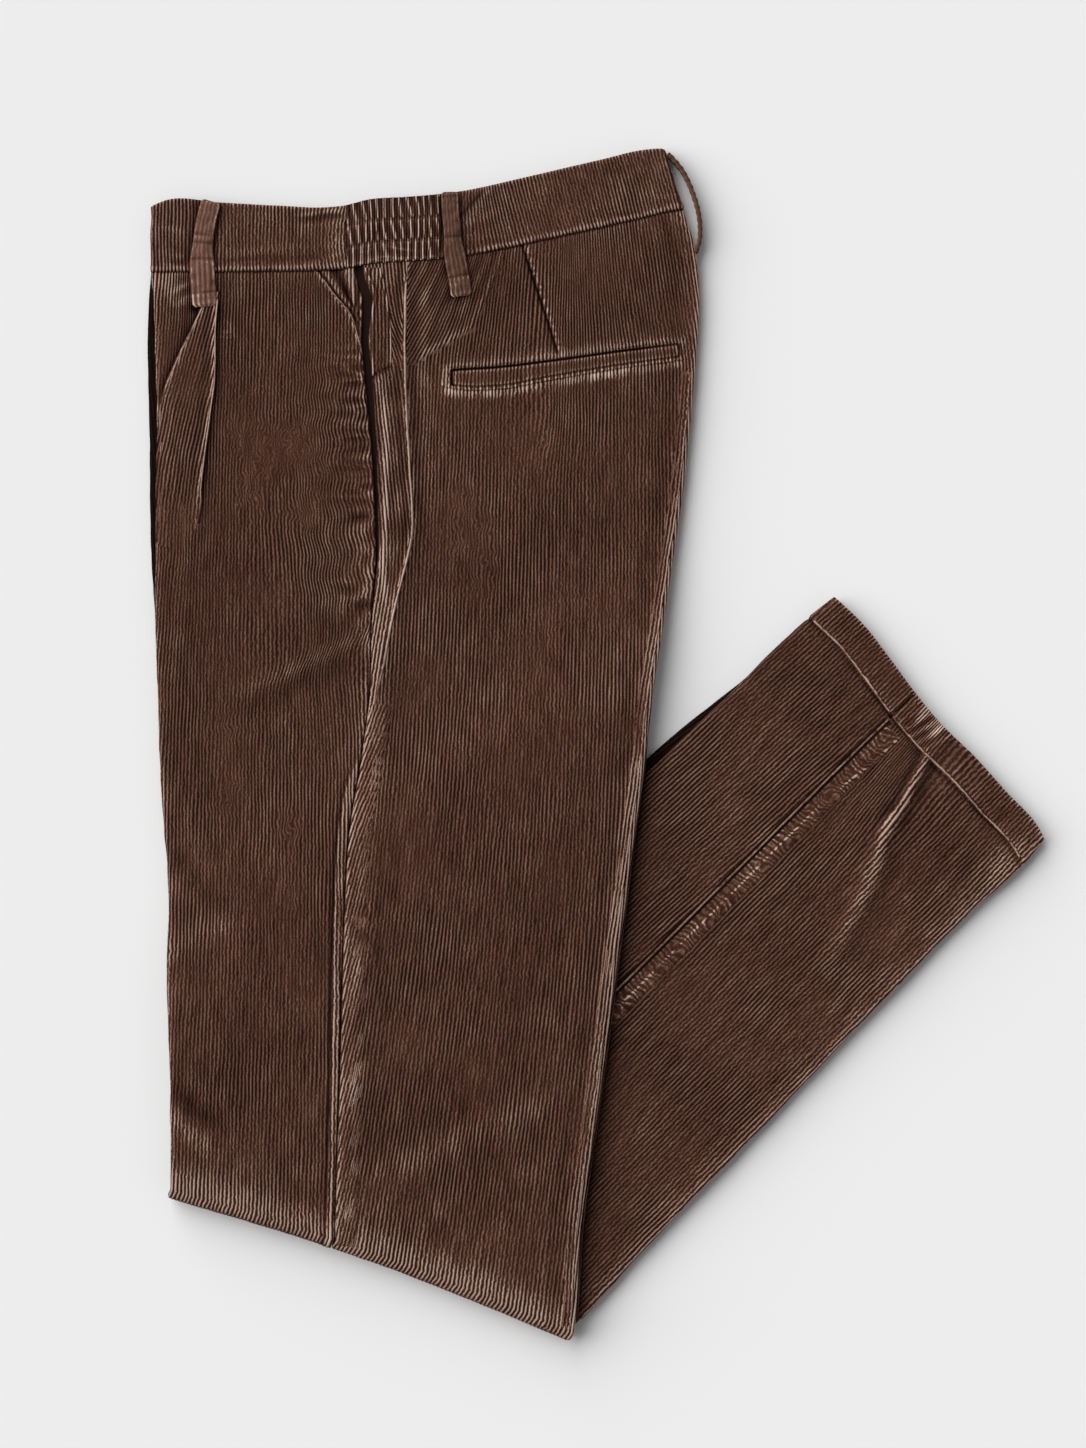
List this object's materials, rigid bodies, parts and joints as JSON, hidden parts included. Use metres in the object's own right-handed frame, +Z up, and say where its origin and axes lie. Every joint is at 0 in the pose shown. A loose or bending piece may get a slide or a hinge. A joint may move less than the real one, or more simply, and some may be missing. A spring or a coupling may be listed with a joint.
{
  "type": "corduroy trousers",
  "caption": "Brown corduroy trousers folded side-on, with pleated front, part-elastic waistband, belt loops, slanted side pocket and welt back pocket, both legs turned under at the knee.",
  "frame": {"origin": "centre of the plan, on the surface that the folded trousers lie on", "axes": "+X towards the hems, +Y towards the waist, +Z up from the surface"},
  "size_m": [0.5202, 0.6905, 0.0193],
  "materials": {
    "corduroy": "brown fine-wale cotton corduroy, garment-washed, wales worn lighter along seams and folds",
    "corduroy_inside": "plain back of the same brown corduroy"
  },
  "bodies": {
    "root": {"near_front_thigh": "corduroy", "near_back_thigh": "corduroy", "near_front_calf": "corduroy", "near_back_calf": "corduroy", "far_front_thigh": "corduroy", "far_back_thigh": "corduroy", "far_front_calf": "corduroy", "far_back_calf": "corduroy", "near_front_waistband": "corduroy", "near_elastic_waistband": "corduroy", "near_back_waistband": "corduroy", "far_front_waistband": "corduroy", "far_elastic_waistband": "corduroy", "far_back_waistband": "corduroy", "front_belt_loop": "corduroy", "side_belt_loop": "corduroy", "centre_back_belt_loop": "corduroy", "side_pocket_facing": "corduroy", "back_pocket_welt": "corduroy", "thigh_core": "corduroy_inside", "calf_core": "corduroy_inside"}
  },
  "joints": []
}
